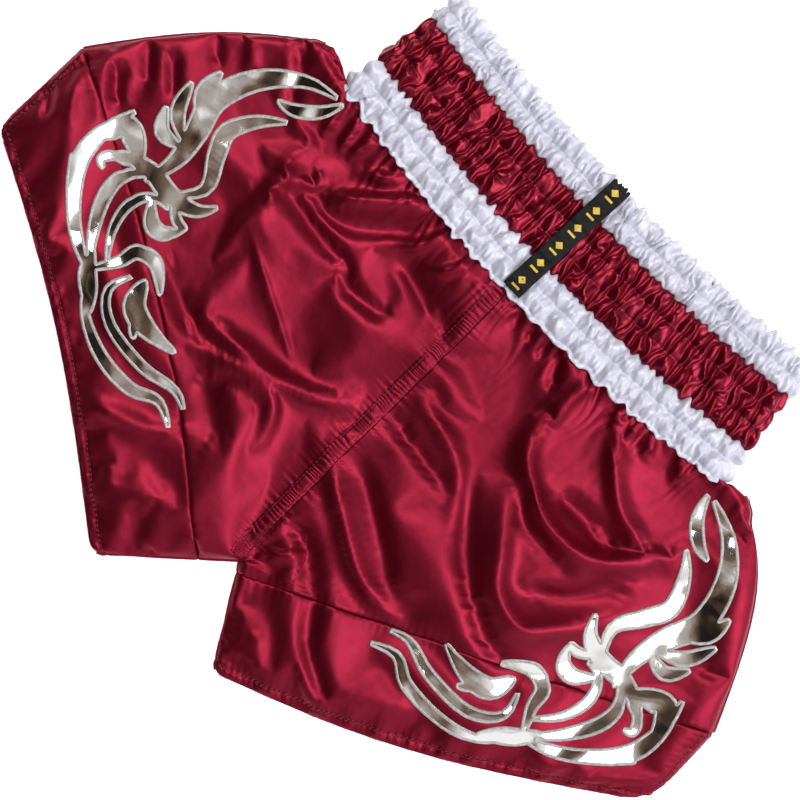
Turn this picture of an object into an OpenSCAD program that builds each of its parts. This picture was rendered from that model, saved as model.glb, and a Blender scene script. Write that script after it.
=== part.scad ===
// Satin boxing shorts lying flat, waist towards +Y, front face up.
// The origin is the middle of the shorts' footprint, on the surface they lie on.
// "Right" and "left" are the wearer's: the right leg lies on the -X side.

/* [Waistband] */
// Flat width of the waistband along its lower edge
waist_w = 338; // [290:1:400]
// How much narrower the waistband is along its upper edge
waist_taper = 24; // [0:1:40]
// Height of the waistband, all gathered rows together
band_h = 92; // [74:1:110]
// How far the ends of the waistband stand above its middle
band_smile = 14; // [0:1:24]
// Gathered depth of the satin casings
casing_t = 3; // [1.5:0.1:5]
// Thickness of an elastic strip
elastic_t = 1; // [0.6:0.1:1.6]
// Width of an elastic strip
elastic_w = 9; // [5:0.5:10]
// Thickness of the lining inside the waistband
lining_t = 0.6; // [0.4:0.1:1.2]
// Open space inside the waistband
waist_gap = 5.8; // [4.6:0.2:14]

/* [Body] */
// From the waistband's lower edge down to the crotch
rise = 238; // [200:1:270]
// From the crotch down to the lowest point of the hems
leg_drop = 62; // [45:1:80]
// From the middle out to each side slit
spread = 290; // [250:1:330]
// Thickness of the panels, with their backing
cloth_t = 1; // [0.6:0.1:1.6]
// Depth of the turned hem
hem_turn = 6; // [4:0.5:8]
// Thickness of the turned hem
hem_turn_t = 0.8; // [0.4:0.1:1.2]
// Width of a felled seam
seam_w = 10; // [6:0.5:12]
// Height of a felled seam over the cloth
seam_t = 0.8; // [0.4:0.1:1.2]
// Width of the folded seam at the sides and inside the legs
fold_w = 2; // [1:0.2:4]

/* [Trim] */
// Width of the woven label
label_w = 14; // [8:0.5:20]
// Thickness of the woven label
label_t = 0.6; // [0.4:0.1:1]
// How far the label stands past the upper edge
label_over = 2; // [0:0.5:4]
// Pairs of figures woven into the label
label_figures = 6; // [3:1:8]
// Thickness of the foil applique
foil_t = 0.4; // [0.2:0.1:0.8]
// Half the width of the corded border round the foil
border_r = 1; // [0.6:0.1:1.4]
// Height of the corded border
border_t = 1; // [0.6:0.1:1.6]
// Thickness of a row of sewing thread
thread_t = 0.3; // [0.2:0.05:0.5]
// Width of a row of sewing thread
thread_w = 0.8; // [0.4:0.1:1.2]

/* [Hidden] */
SATIN = [0.60, 0.06, 0.16];
WHITE = [0.93, 0.93, 0.98];
BLACK = [0.03, 0.03, 0.03];
SILVER = [0.80, 0.79, 0.76];
YELLOW = [0.85, 0.75, 0.20];
THREAD = [0.45, 0.03, 0.10];

RIGHT = -1;
LEFT = 1;
rows_lower = 2;                // elastic rows in the white, the maroon and the white casing
rows_middle = 3;
rows_upper = 2;
rows = rows_lower + rows_middle + rows_upper;
row_low = 0.14;                // share of the band's height in each row of the lower casing
row_mid = 0.155;               // and in each row of the middle one
band_n = 24;                   // steps along the waistband
edge_n = 12;                   // steps along a leg's edge
corner_n = 5;                  // steps round a corner

// Heights of the layers over the surface
wall_t = casing_t + elastic_t + lining_t;
band_top = 2 * wall_t + waist_gap;
front_z = band_top - casing_t; // underside of the front panels
front_top = front_z + cloth_t;

// Places along the middle line
total_l = leg_drop + rise + band_h + band_smile + 1;
hem_y = -total_l / 2;
crotch_y = hem_y + leg_drop;
band_y = crotch_y + rise;
crotch = [0, crotch_y];

// How the band lies: shifted, and a little higher at the wearer's right
band_shift = 7;
band_tilt = 5;
band_end = waist_w / 2;

// How each leg lies, the wearer's right first. x counts outwards from the middle line.
slit_x = [7, -3];              // past spread
slit_low_y = [hem_y + 148, hem_y + 133]; // where the hem starts
slit_top_y = [slit_low_y.x + 71, slit_low_y.y + 62]; // where the side seam ends
slit_r = [1.7 * hem_turn, 4.2 * hem_turn]; // how far the outer hem corner is rounded
inner_x = [68, 38];            // inner hem corner
inner_r = 1.5 * hem_turn;
hem_bow = [9, -11];            // how far the hem bows up from a straight line
band_bow = [15, 0];            // the same for the hem band's seam
seam_drop = [26, 8];           // along the inseam, from the crotch to the hem band's seam
side_bow = [9, 19];
shoulder = [[26, 15], [23, 9]];// the body's top corner, from the band's end
shoulder_r = 18;

// Both ends of the label's middle line
label_low = [0.5, band_y];
label_high = [4, band_y + band_h + label_over];

// ---- Curves ----
function which(side) = side == RIGHT ? 0 : 1;
function lerp(a, b, t) = a + (b - a) * t;
function unit(v) = v / norm(v);
function backwards(p) = [for (i = [len(p) - 1:-1:0]) p[i]];
function sided(side, p) = [for (q = p) [side * q.x, q.y]];

// A straight line that bows up by h at its middle
function bowed(a, b, h, n) = [for (i = [0:n]) lerp(a, b, i / n) + [0, h * sin(180 * i / n)]];

// A rounded corner at b, between a and c, that starts r away from b
function corner(a, b, c, r) =
    let (p = b + r * unit(a - b), q = b + r * unit(c - b))
    [for (i = [0:corner_n]) let (t = i / corner_n) lerp(lerp(p, b, t), lerp(b, q, t), t)];

// One span of a Catmull-Rom curve, from b to c
function span(a, b, c, d, t) =
    0.5 * (2 * b + (c - a) * t + (2 * a - 5 * b + 4 * c - d) * t * t
        + (3 * b - a - 3 * c + d) * t * t * t);

// A smooth curve through the points p, n steps to each span
function through(p, n) =
    let (
        k = len(p),
        q = concat([2 * p[0] - p[1]], p, [2 * p[k - 1] - p[k - 2]])
    )
    concat([for (i = [0:k - 2]) for (j = [0:n - 1]) span(q[i], q[i + 1], q[i + 2], q[i + 3], j / n)],
        [p[k - 1]]);

// The unit normal of an open curve at point i, on its left
function normal_at(c, i) =
    let (d = c[min(i + 1, len(c) - 1)] - c[max(i - 1, 0)])
    [-d.y, d.x] / norm(d);
function beside(c, d) = [for (i = [0:len(c) - 1]) c[i] + d * normal_at(c, i)];

// A strip from the distance a to the distance b on the left of a curve
function strip(c, a, b) = concat(beside(c, a), backwards(beside(c, b)));

// Everything is drawn about the crotch's line and then moved to the middle of the footprint
module at_height(z) {
    translate([-(box_high.x + box_low.x) / 2, -(box_high.y + box_low.y) / 2, z]) children();
}
module slab(points, z0, z1) {
    at_height(z0) linear_extrude(z1 - z0) polygon(points);
}

// ---- The waistband ----
// s runs from -1 to 1 along the band and t from 0 to 1 up it
function band_point(s, t) =
    [
        band_shift + t + s * (band_end - t * waist_taper / 2),
        band_y + band_smile * s * s * (1 - t / 4) - band_tilt * s + t * band_h
    ];
row_high = (1 - rows_lower * row_low - rows_middle * row_mid) / rows_upper;
function row_edge(row) =
    min(row, rows_lower) * row_low
    + max(min(row - rows_lower, rows_middle), 0) * row_mid
    + max(row - rows_lower - rows_middle, 0) * row_high;
function band_line(s0, s1, t) =
    [for (i = [0:band_n]) band_point(lerp(s0, s1, i / band_n), t)];
function band_area(s, t0, t1) = concat(band_line(-s, s, t0), backwards(band_line(-s, s, t1)));

// A flattened ring of the waistband, from depth d0 to depth d1 below its outer face
module band_ring(t0, t1, d0, d1) {
    past = 0.02;
    difference() {
        at_height(d0)
            linear_extrude(band_top - 2 * d0)
                polygon(band_area(1 - d0 / band_end, t0, t1));
        at_height(d1)
            linear_extrude(band_top - 2 * d1)
                polygon(band_area(1 - d1 / band_end, t0 - past, t1 + past));
    }
}

module casing(row0, row1, tint) {
    color(tint) band_ring(row_edge(row0), row_edge(row1), 0, casing_t);
}

module elastic(row) {
    mid = (row_edge(row - 1) + row_edge(row)) / 2;
    half = elastic_w / band_h / 2;
    color("ivory") band_ring(mid - half, mid + half, casing_t, casing_t + elastic_t);
}

module waist_lining() {
    color(WHITE) band_ring(0, 1, casing_t + elastic_t, wall_t);
}

// The rows of thread that hold casing and lining together between the elastic strips
module row_stitching() {
    half = thread_w / band_h / 2;
    color(WHITE)
        for (row = [1:rows - 1])
            band_ring(row_edge(row) - half, row_edge(row) + half, casing_t, casing_t + elastic_t);
}

// ---- The outlines of a leg, on the +X side, mirrored for the right leg ----
function slit_top(side) = let (k = which(side)) [spread + slit_x[k] - 2, slit_top_y[k]];
function slit_low(side) = let (k = which(side)) [spread + slit_x[k], slit_low_y[k]];
function inner_corner(side) = [inner_x[which(side)], hem_y];
function inseam_point(side, d) = crotch + d * unit(inner_corner(side) - crotch);
function band_corner(side) = let (p = band_point(side, 0)) [side * p.x, p.y];
function shoulder_point(side) = band_corner(side) + shoulder[which(side)];

// From the waistband's end over the shoulder and down the side to the slit
function side_edge(side) =
    let (
        a = band_corner(side),
        c = slit_top(side),
        over = corner(a, shoulder_point(side), c, shoulder_r),
        down = bowed(over[corner_n], c, side_bow[which(side)], edge_n)
    )
    concat([a], over, [for (i = [1:edge_n]) down[i]]);

// The seam between a leg's panel and its hem band, from the slit inwards
function hem_seam(side) =
    let (k = which(side))
    bowed(slit_top(side), inseam_point(side, seam_drop[k]), band_bow[k], edge_n);

// The free edge of the hem band: down the slit, along the hem to the inseam
function free_edge(side) =
    let (
        k = which(side),
        a = slit_top(side),
        b = slit_low(side),
        c = inner_corner(side),
        round_out = corner(a, b, c, slit_r[k]),
        round_in = corner(b, c, crotch, inner_r),
        hem = bowed(round_out[corner_n], round_in[0], hem_bow[k], edge_n)
    )
    concat([a, lerp(a, round_out[0], 0.5)], round_out,
        [for (i = [1:edge_n - 1]) hem[i]], round_in);

function inseam(side) = [crotch, inseam_point(side, norm(inner_corner(side) - crotch) - inner_r)];

function panel_outline(side) =
    let (
        k = which(side),
        middle = -band_shift / band_end,
        top = side == RIGHT ? band_line(middle, -1, 0) : band_line(middle, 1, 0)
    )
    concat([for (p = top) [max(side * p.x, 0), p.y]],
        [for (i = [1:len(side_edge(side)) - 1]) side_edge(side)[i]],
        [for (i = [1:edge_n]) hem_seam(side)[i]],
        [crotch]);

function hem_band_outline(side) =
    concat(backwards(hem_seam(side)), [for (i = [1:len(free_edge(side)) - 1]) free_edge(side)[i]]);

// The footprint
edges = concat(
    sided(RIGHT, side_edge(RIGHT)), sided(RIGHT, free_edge(RIGHT)),
    side_edge(LEFT), free_edge(LEFT), band_line(-1, 1, 1), [label_high]
);
box_low = [min([for (p = edges) p.x]), min([for (p = edges) p.y])];
box_high = [max([for (p = edges) p.x]), max([for (p = edges) p.y])];

// The gusset lets the legs part. It is set in beside the crotch, on the left leg.
gusset = [
    crotch, crotch + [0, 44], crotch + [20, 45], crotch + [33, 31],
    crotch + [35, 14], crotch + [23, -6], inseam_point(LEFT, seam_drop[1])
];

module front_panel(side) {
    color(SATIN)
        difference() {
            slab(sided(side, panel_outline(side)), front_z, front_top);
            if (side == LEFT) slab(gusset, front_z - 1, front_top + 1);
        }
}

module back_panel(side) {
    color(SATIN) slab(sided(side, panel_outline(side)), 0, cloth_t);
}

module crotch_gusset() {
    color(SATIN)
        intersection() {
            slab(gusset, front_z, front_top);
            slab(panel_outline(LEFT), front_z, front_top);
        }
}

// A hem band with its turned hem, which lies on the inner face
module hem_band(side, z0, turn_z0) {
    color(SATIN)
        union() {
            slab(sided(side, hem_band_outline(side)), z0, z0 + cloth_t);
            slab(sided(side, strip(free_edge(side), 0, -hem_turn)), turn_z0, turn_z0 + hem_turn_t);
        }
}

// The folded seam that joins front and back down the side, from the waistband to the slit
function side_fold(side) =
    let (c = side_edge(side), n = len(c) - 1)
    concat([for (i = [0:n - 1]) c[i]], [lerp(c[n - 1], c[n], 0.8)]);

module side_seam(side) {
    color(SATIN) slab(sided(side, strip(side_fold(side), 0, -fold_w)), cloth_t, front_z);
}

// The folded seam inside the leg, from the crotch to the hem
module inseam_fold(side) {
    color(SATIN) slab(sided(side, strip(inseam(side), 0, fold_w)), cloth_t, front_z);
}

// ---- Seams down the middle ----
centre_bend = [-2, crotch_y + 39];
centre_end = [10, crotch_y + 16];
centre_top = [0, band_y - 0.5];
centre_line = concat(
    [centre_top], corner(centre_top, centre_bend, centre_end, seam_w), [centre_end]
);

module centre_seam_front() {
    color(SATIN)
        slab(strip(centre_line, 0, -seam_w), front_top, front_top + seam_t);
}

module centre_seam_back() {
    color(SATIN)
        slab([
            [-seam_w / 2, band_y - 0.5], [seam_w / 2, band_y - 0.5],
            [seam_w / 2, crotch_y + 20], [-seam_w / 2, crotch_y + 20]
        ], cloth_t, cloth_t + seam_t);
}

module centre_seam_stitching() {
    color(THREAD)
        for (d = [-1.5, 1.5 - seam_w])
            slab(strip(centre_line, d + thread_w / 2, d - thread_w / 2),
                front_top + seam_t, front_top + seam_t + thread_t);
}

module hem_stitching(side) {
    line = strip(free_edge(side), thread_w - hem_turn, -hem_turn);
    color(THREAD) {
        slab(sided(side, line), front_top, front_top + thread_t);
        slab(sided(side, line), cloth_t + hem_turn_t, cloth_t + hem_turn_t + thread_t);
    }
}

// ---- The woven label down the middle of the waistband ----
label_dir = unit(label_high - label_low);
label_l = norm(label_high - label_low);
label_side = [label_dir.y, -label_dir.x];
function on_label(u, v) = label_low + u * label_dir + v * label_side;
function label_box(u0, u1, w) =
    [on_label(u0, -w / 2), on_label(u1, -w / 2), on_label(u1, w / 2), on_label(u0, w / 2)];

module label() {
    color(BLACK) slab(label_box(0, label_l, label_w), band_top, band_top + label_t);
}

// A lozenge and a bar, over and over
module label_figures() {
    pitch = label_l / label_figures;
    z = band_top + label_t;
    w = label_w * 0.22;
    color(YELLOW)
        for (i = [0:label_figures - 1])
            let (u = (i + 0.5) * pitch) {
                slab([
                    on_label(u - pitch * 0.1, 0), on_label(u + pitch * 0.08, -w),
                    on_label(u + pitch * 0.26, 0), on_label(u + pitch * 0.08, w)
                ], z, z + thread_t);
                slab(label_box(u - pitch * 0.32, u - pitch * 0.22, 2 * w), z, z + thread_t);
            }
}

module label_stitching() {
    z = band_top + label_t;
    color(BLACK)
        for (u = [1.5, label_l - label_over - 1.5])
            slab(label_box(u - thread_w / 2, u + thread_w / 2, label_w - 2), z, z + thread_t);
}

// ---- The flame applique ----
// Each tongue: the points of its middle line, half its greatest width, and where it is widest
// (under 1 nearer its root, over 1 nearer its tip). x counts outwards from the root, y upwards.
FLAME = [
    // the root
    [[[-16, -18], [-6, -8], [4, 2], [10, 14]], 6, 1],
    // the tail along the hem
    [[[6, 2], [-14, -20], [-40, -31], [-66, -32], [-84, -25], [-106, -36]], 4, 1],
    [[[-22, 26], [-14, 3], [-30, -13], [-62, -17], [-86, -13], [-103, -21]], 3.6, 1],
    [[[-26, 24], [-32, 7], [-48, 2], [-73, 4]], 7, 0.8],
    [[[-36, 2], [-42, -4], [-47, -9]], 2.6, 1],
    [[[6, -2], [-6, 18], [-10, 31], [-22, 35], [-32, 29], [-41, 20]], 4.6, 0.9],
    // the sweeps up the outside of the leg
    [[[-2, -2], [25, 13], [46, 31], [64, 49]], 4, 0.9],
    [[[0, 0], [32, 19], [53, 43], [57, 67], [50, 96]], 5.4, 1.2],
    [[[57, 62], [50, 80], [38, 78], [22, 66]], 7.5, 0.9],
    [[[0, 0], [18, 21], [29, 43], [28, 61], [12, 74]], 4.4, 1],
    [[[-6, 8], [10, 29], [14, 49], [6, 62], [-10, 63]], 3.2, 1],
    // the heart
    [[[44, 66], [20, 72], [0, 70], [-18, 75], [-27, 88]], 6, 0.8],
    [[[-2, 70], [-14, 62], [-23, 63]], 3.2, 1],
    [[[8, 62], [-4, 50], [-14, 51], [-22, 63]], 5, 0.9],
    [[[30, 66], [41, 64], [46, 56], [39, 52]], 3, 1],
    // the crest that climbs to the waistband
    [[[18, 62], [13, 87], [16, 109], [22, 131], [13, 157], [-8, 178], [-36, 188]], 7.5, 0.9],
    [[[16, 112], [30, 129], [31, 148]], 5, 1],
    [[[17, 98], [33, 110], [40, 131]], 4.6, 1],
    [[[14, 96], [31, 94], [41, 109]], 4.4, 1],
    [[[4, 66], [-12, 87], [-3, 107], [3, 123], [-6, 141], [-22, 156]], 5.6, 1],
    [[[-37, 189], [-29, 172], [-16, 161], [-3, 158]], 4.2, 1]
];
flame_n = 4;                   // steps to each span of a tongue
flame_scale = (rise + leg_drop) / 300; // keeps the motif between the hem and the waistband
flame_root = [
    [spread - 100 * flame_scale, hem_y + 42 + 80 * flame_scale],
    [spread - 94 * flame_scale, hem_y + 42 + 66 * flame_scale]
];
flame_turn = [0, -5];          // how far the motif is turned on each leg

function flame_place(side, p) =
    let (k = which(side), a = flame_turn[k], q = flame_scale * p)
    [
        side * (flame_root[k].x + q.x * cos(a) - q.y * sin(a)),
        flame_root[k].y + q.x * sin(a) + q.y * cos(a)
    ];

// Half the width of a tongue at t, from its root at 0 to its tip at 1
function flame_half(w, lean, t) = w * pow(max(sin(180 * pow(t, lean)), 0), 0.8);

// The outline of one tongue, up one side and down the other
function flame_outline(tongue) =
    let (
        c = through(tongue[0], flame_n),
        n = len(c) - 1,
        half = [for (i = [0:n]) flame_half(tongue[1], tongue[2], i / n)]
    )
    concat(
        [for (i = [0:n]) c[i] + half[i] * normal_at(c, i)],
        [for (i = [n - 1:-1:1]) c[i] - half[i] * normal_at(c, i)]
    );

// The whole motif, grown or shrunk by g
module flame(side, g) {
    offset(r = g, $fn = 8)
        union() {
            for (tongue = FLAME)
                polygon([for (p = flame_outline(tongue)) flame_place(side, p)]);
        }
}

module foil(side) {
    color(SILVER) at_height(front_top) linear_extrude(foil_t) flame(side, -border_r);
}

module foil_border(side) {
    color(SILVER)
        at_height(front_top)
            linear_extrude(border_t)
                difference() {
                    flame(side, border_r);
                    flame(side, -border_r);
                }
}

front_panel(RIGHT);  // front_panel_right
front_panel(LEFT);  // front_panel_left
back_panel(RIGHT);  // back_panel_right
back_panel(LEFT);  // back_panel_left
crotch_gusset();
hem_band(RIGHT, front_z, front_z - hem_turn_t);  // hem_band_front_right
hem_band(LEFT, front_z, front_z - hem_turn_t);  // hem_band_front_left
hem_band(RIGHT, 0, cloth_t);  // hem_band_back_right
hem_band(LEFT, 0, cloth_t);  // hem_band_back_left
side_seam(RIGHT);  // side_seam_right
side_seam(LEFT);  // side_seam_left
inseam_fold(RIGHT);  // inseam_right
inseam_fold(LEFT);  // inseam_left
centre_seam_front();
centre_seam_back();
casing(0, rows_lower, WHITE);  // waist_casing_lower
casing(rows_lower, rows_lower + rows_middle, SATIN);  // waist_casing_middle
casing(rows - rows_upper, rows, WHITE);  // waist_casing_upper
elastic(1);  // elastic_1
elastic(2);  // elastic_2
elastic(3);  // elastic_3
elastic(4);  // elastic_4
elastic(5);  // elastic_5
elastic(6);  // elastic_6
elastic(7);  // elastic_7
waist_lining();
row_stitching();
label();
label_figures();
label_stitching();
foil(RIGHT);  // foil_right
foil(LEFT);  // foil_left
foil_border(RIGHT);  // foil_border_right
foil_border(LEFT);  // foil_border_left
hem_stitching(RIGHT);  // hem_stitching_right
hem_stitching(LEFT);  // hem_stitching_left
centre_seam_stitching();
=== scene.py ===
# %% [markdown]
# # Satin boxing shorts, lying flat
# The solid model gives every piece its size and its place. This lesson dresses it: drapes the
# satin, gathers the waistband, and lays the foil and the stitching on top.

# %% Open the model and keep its size
import math

import bpy
import numpy as np
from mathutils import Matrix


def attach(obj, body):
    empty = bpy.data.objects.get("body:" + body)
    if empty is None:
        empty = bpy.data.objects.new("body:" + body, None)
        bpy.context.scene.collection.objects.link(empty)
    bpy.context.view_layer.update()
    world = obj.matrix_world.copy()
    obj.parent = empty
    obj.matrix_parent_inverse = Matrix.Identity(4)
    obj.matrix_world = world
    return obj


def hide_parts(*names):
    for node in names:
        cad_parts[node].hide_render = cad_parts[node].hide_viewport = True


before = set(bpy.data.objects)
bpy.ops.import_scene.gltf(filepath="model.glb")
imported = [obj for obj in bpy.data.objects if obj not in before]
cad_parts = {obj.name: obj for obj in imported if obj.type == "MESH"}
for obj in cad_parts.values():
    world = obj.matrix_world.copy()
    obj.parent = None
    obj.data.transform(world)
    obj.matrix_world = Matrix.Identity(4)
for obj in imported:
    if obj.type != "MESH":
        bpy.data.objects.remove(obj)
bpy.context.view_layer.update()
MM = 0.001
RIGHT, LEFT = -1, 1
SIDES = {RIGHT: "right", LEFT: "left"}

# %% [markdown]
# ## Outlines
# A garment starts from its pattern pieces. The solid model has them as flat plates, so their
# outlines are read from the upper faces of those plates. An edge inside a face belongs to two
# triangles, so the rim is the edges that only one triangle uses, joined end to end.

# %% Read a flat node's outline
def outlines(node, under=False):
    """Closed loops round the node's upper face, or its underside, in mm: the edges used by one
    triangle only, chained end to end."""
    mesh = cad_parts[node].data
    co = np.empty(len(mesh.vertices) * 3)
    mesh.vertices.foreach_get("co", co)
    co = co.reshape(-1, 3) / MM
    mesh.calc_loop_triangles()
    tri = np.empty(len(mesh.loop_triangles) * 3, int)
    mesh.loop_triangles.foreach_get("vertices", tri)
    tri = tri.reshape(-1, 3)
    level = co[:, 2].min() if under else co[:, 2].max()
    upper = tri[(np.abs(co[tri, 2] - level) < 0.01).all(1)]
    places = np.round(co[:, :2] * 50).astype(int)
    _, first, merged = np.unique(places, axis=0, return_index=True, return_inverse=True)
    upper = merged.reshape(-1)[upper]
    edges = np.concatenate([upper[:, [0, 1]], upper[:, [1, 2]], upper[:, [2, 0]]])
    edges = edges[edges[:, 0] != edges[:, 1]]
    n = len(first)
    rim = edges[~np.isin(edges[:, 0] * n + edges[:, 1], edges[:, 1] * n + edges[:, 0])]
    after = dict(rim.tolist())
    loops = []
    while after:
        start, here = after.popitem()
        loop = [start]
        while here != start and here in after:
            loop.append(here)
            here = after.pop(here)
        loops.append(co[first[loop], :2])
    return loops


def stretches(loop, corners):
    """Cuts a loop at the vertices nearest the corners, in their order, into open paths."""
    at = [int(np.argmin(np.hypot(*(loop - c).T))) for c in corners]
    n = len(loop)
    if (at[1] - at[0]) % n > (at[2] - at[0]) % n:
        loop, at = loop[::-1], [n - 1 - i for i in at]
    ends = at[1:] + at[:1]
    return [loop[np.arange(a, a + (b - a) % n + 1) % n] for a, b in zip(at, ends)]


def even(path, n):
    """n + 1 points spaced evenly along a path."""
    d = np.r_[0, np.cumsum(np.linalg.norm(np.diff(path, axis=0), axis=1))]
    u = np.linspace(0, d[-1], n + 1)
    return np.stack([np.interp(u, d, path[:, i]) for i in range(path.shape[1])], 1)


back_left = outlines("back_panel_left")[0]
on_middle = back_left[back_left[:, 0] < back_left[:, 0].min() + 0.3]
crotch = on_middle[np.argmin(on_middle[:, 1])]
# Shorts coordinates, in mm: x to the wearer's left of the crotch, y up, 0 at mid height
AT = crotch + [0, 141.5]
print("crotch at", crotch.round(2), "mm")

# %% [markdown]
# ## A grid over each leg
# Each leg is two pattern pieces, a panel and a hem band. A Coons patch fills four edges with a
# grid: it carries the edges across and down, and takes off the corners that were counted twice.

# %% Grids over the flat pattern
ACROSS, TO_CROTCH, TO_SEAM, HEM_ROWS = 72, 54, 6, 16
PANEL_ROWS = TO_CROTCH + TO_SEAM
ROWS = PANEL_ROWS + HEM_ROWS
# Where the edges of each leg's pattern pieces meet, in mm of shorts coordinates
CORNERS = {
    RIGHT: {"top": (0, 96), "shoulder": (-188, 130), "slit": (-292, 15), "low": (-294, -55),
            "hem": (-68, -203), "seam": (-19, -158)},
    LEFT: {"top": (0, 96), "shoulder": (196, 113), "slit": (282, -8), "low": (283, -68),
           "hem": (38, -203), "seam": (5, -148)},
}


def coons(top, bottom, inner, outer):
    """Grid inside four edges: edge to edge both ways, less the bilinear blend of the corners."""
    s = np.linspace(0, 1, len(top))[None, :, None]
    t = np.linspace(0, 1, len(inner))[:, None, None]
    across = inner[:, None] * (1 - s) + outer[:, None] * s
    down = top[None] * (1 - t) + bottom[None] * t
    twice = (top[0] * (1 - s) + top[-1] * s) * (1 - t) + (bottom[0] * (1 - s) + bottom[-1] * s) * t
    return across + down - twice


def leg_grid(side):
    """The flat grid of one leg, rows from the waist to the hem, columns from the middle out."""
    c = {k: np.array(v, float) for k, v in CORNERS[side].items()}
    panel = outlines("back_panel_" + SIDES[side])[0] - AT
    hem = outlines("hem_band_back_" + SIDES[side], under=True)[0] - AT
    top, outer, seam, low, middle = stretches(
        panel, [c["top"], c["shoulder"], c["slit"], c["seam"], (0, -141.5)])
    seam = even(seam[::-1], ACROSS)
    inner = np.concatenate([even(middle[::-1], TO_CROTCH), even(low[::-1], TO_SEAM)[1:]])
    upper = coons(even(top, ACROSS), seam, inner, even(outer, PANEL_ROWS))
    slit, edge, inseam, _ = stretches(hem, [c["slit"], c["low"], c["hem"], c["seam"]])
    lower = coons(seam, even(edge[::-1], ACROSS), even(inseam[::-1], HEM_ROWS),
                  even(slit, HEM_ROWS))
    return np.concatenate([upper, lower[1:]])

# %% The grids of both legs
flat = {side: leg_grid(side) for side in SIDES}
for side in SIDES:
    print(SIDES[side], "leg", flat[side].shape, flat[side].reshape(-1, 2).min(0).round(1),
          flat[side].reshape(-1, 2).max(0).round(1))

# %% [markdown]
# ## Small tools
# Waves summed in seeded random directions are a soft noise that needs no image. A path through a
# few given points is smoothed by a Catmull-Rom curve, which passes through every point.

# %% Waves, smooth paths and finer grids


def waves(x, y, size, seed, n=36):
    """Soft noise of about -1 to 1: n sine waves of wavelength near size, in random directions."""
    r = np.random.default_rng(seed)
    turn, phase = r.uniform(0, 2 * np.pi, (2, n))
    rate = 2 * np.pi / (size * r.uniform(0.7, 1.7, n))
    total = sum(np.sin(k * (x * np.cos(a) + y * np.sin(a)) + p)
                for k, a, p in zip(rate, turn, phase))
    return total / math.sqrt(n)


def cubic(points, k):
    """Catmull-Rom curve along axis 0 with k steps between points: each step blends four points."""
    pad = np.concatenate([2 * points[:1] - points[1:2], points, 2 * points[-1:] - points[-2:-1]])
    t = (np.arange(k) / k).reshape((1, k) + (1,) * (points.ndim - 1))
    a, b, c, d = (pad[i:len(pad) - 3 + i, None] for i in range(4))
    out = 0.5 * (2 * b + (c - a) * t + (2 * a - 5 * b + 4 * c - d) * t**2
                 + (3 * b - a - 3 * c + d) * t**3)
    return np.concatenate([out.reshape((-1,) + points.shape[1:]), points[-1:]])


def finer(grid, k):
    """The same grid with k cells for each one, both ways."""
    return cubic(cubic(grid, k).swapaxes(0, 1), k).swapaxes(0, 1)


def bell(d, width):
    """A bump of height 1 that falls to nothing about two widths away."""
    return np.exp(-(d / width) ** 2)


def ease(t):
    """0 below 0, 1 above 1, with a smooth slope between."""
    t = np.clip(t, 0, 1)
    return t * t * (3 - 2 * t)


def run(grid, axis):
    """How far along its row or column each point of a grid lies, in mm."""
    step = np.linalg.norm(np.diff(grid, axis=axis), axis=-1)
    start = np.zeros_like(np.take(step, [0], axis))
    return np.concatenate([start, np.cumsum(step, axis)], axis)


def normals_of(grid):
    """Unit normals of a grid, turned to point up: the cross product of its two directions."""
    n = np.cross(np.gradient(grid, axis=0), np.gradient(grid, axis=1))
    n /= np.linalg.norm(n, axis=-1, keepdims=True)
    return n * (1 if n[..., 2].mean() > 0 else -1)

# %% [markdown]
# ## From numbers to a piece
# Every piece is a grid of points or a list of points with its faces. One helper turns it into a
# mesh, sets its UV map, gives it its finish and hides the solid it stands for.

# %% Make a mesh piece


def grid_faces(rows, cols, wrap=False, flip=False):
    """Quads of a grid; wrap joins the last column to the first, flip turns them over."""
    i = np.arange(rows * cols).reshape(rows, cols)
    i = np.concatenate([i, i[:, :1]], 1) if wrap else i
    q = np.stack([i[:-1, :-1], i[:-1, 1:], i[1:, 1:], i[1:, :-1]], -1).reshape(-1, 4)
    return q[:, ::-1] if flip else q


def piece(name, points, faces, finish, stands_for=(), uv=None, wall=0.0):
    """A mesh object from points in shorts mm, placed in the model's metres and named for its
    finish. wall is the thickness of its cloth."""
    name = name + "_" + finish.name.split("_")[-1]
    points = points.reshape(-1, 3).copy()
    points[:, :2] += AT
    mesh = bpy.data.meshes.new(name)
    mesh.from_pydata(points * MM, [], faces.tolist() if isinstance(faces, np.ndarray) else faces)
    mesh.polygons.foreach_set("use_smooth", np.ones(len(mesh.polygons), bool))
    if uv is not None:
        corner = np.empty(len(mesh.loops), int)
        mesh.loops.foreach_get("vertex_index", corner)
        layer = mesh.uv_layers.new(name="UVMap")
        layer.data.foreach_set("uv", (uv.reshape(-1, 2)[corner] * MM).ravel())
    mesh.materials.append(finish)
    mesh.update()
    obj = bpy.data.objects.new(name, mesh)
    bpy.context.scene.collection.objects.link(obj)
    if wall:
        cloth = obj.modifiers.new("cloth_wall", "SOLIDIFY")
        cloth.thickness = wall * MM
        cloth.offset = -1
    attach(obj, "root")
    if stands_for:
        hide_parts(*stands_for)
    print(name, len(mesh.vertices), "points")
    return obj


def facing_up(grid):
    """Whether a grid's quads, in grid_faces order, face up."""
    n = np.cross(grid[:-1, 1:] - grid[:-1, :-1], grid[1:, :-1] - grid[:-1, :-1])
    return n[..., 2].mean() > 0

# %% [markdown]
# ## Satin
# Satin floats its threads over several others, so it shines almost like metal along one
# direction and keeps its own colour in the shine. A high metallic share tints the highlight. The
# weave and slubs go in as bump, read from a UV map that holds the flat cloth's own millimetres.

# %% A finish, its noise, tint, bump and threads


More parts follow.
